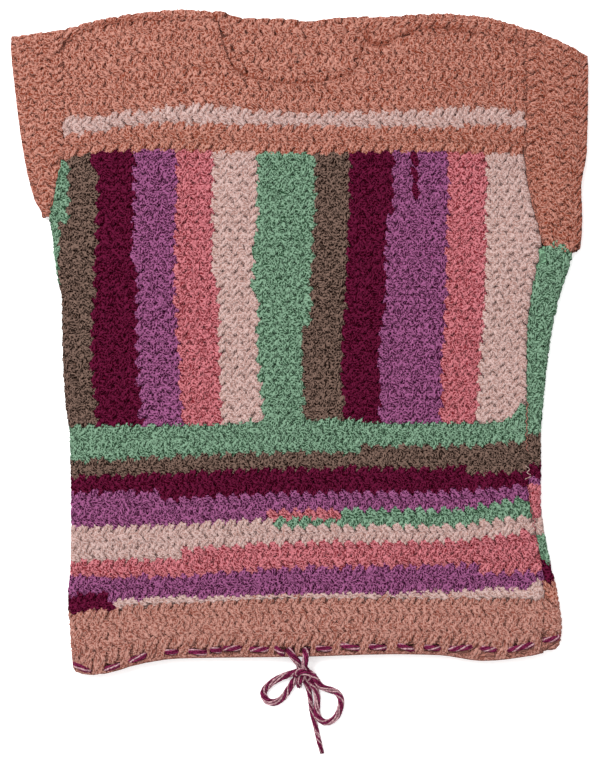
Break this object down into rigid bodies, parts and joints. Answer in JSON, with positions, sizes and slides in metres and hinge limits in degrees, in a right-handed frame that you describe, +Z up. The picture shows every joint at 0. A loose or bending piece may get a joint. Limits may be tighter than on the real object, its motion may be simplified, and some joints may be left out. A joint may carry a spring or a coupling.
{
  "type": "crocheted crewneck sweater",
  "caption": "Short-sleeved crocheted crewneck pullover laid flat, with colour-block stripes and a drawstring tied in a bow at the hem.",
  "frame": {"origin": "middle of the laid garment's base, on the surface that it rests on", "axes": "+Z up out of the front, +Y from the hem to the neck, +X to the right as the laid garment is seen from above"},
  "size_m": [0.52, 0.6728, 0.0207],
  "materials": {
    "rose_crochet": "matte dusty rose cotton yarn, single crochet",
    "striped_crochet": "matte cotton yarn in green, taupe, maroon, purple, coral and cream rows",
    "drawstring": "twisted maroon and pale pink cord, matte"
  },
  "bodies": {
    "root": {"front_yoke": "rose_crochet", "back_yoke": "rose_crochet", "sleeve_left": "rose_crochet", "sleeve_right": "rose_crochet", "front_hem_band": "rose_crochet", "back_hem_band": "rose_crochet", "front_striped_panel": "striped_crochet", "back_striped_panel": "striped_crochet", "front_lower_panel": "striped_crochet", "back_lower_panel": "striped_crochet", "cord_laced_left": "drawstring", "cord_laced_right": "drawstring", "cord_back_run": "drawstring", "cord_lead_left": "drawstring", "cord_lead_right": "drawstring", "cord_loop_left": "drawstring", "cord_loop_right": "drawstring", "cord_tail_long": "drawstring", "cord_tail_short": "drawstring", "cord_knot": "drawstring"}
  },
  "joints": []
}
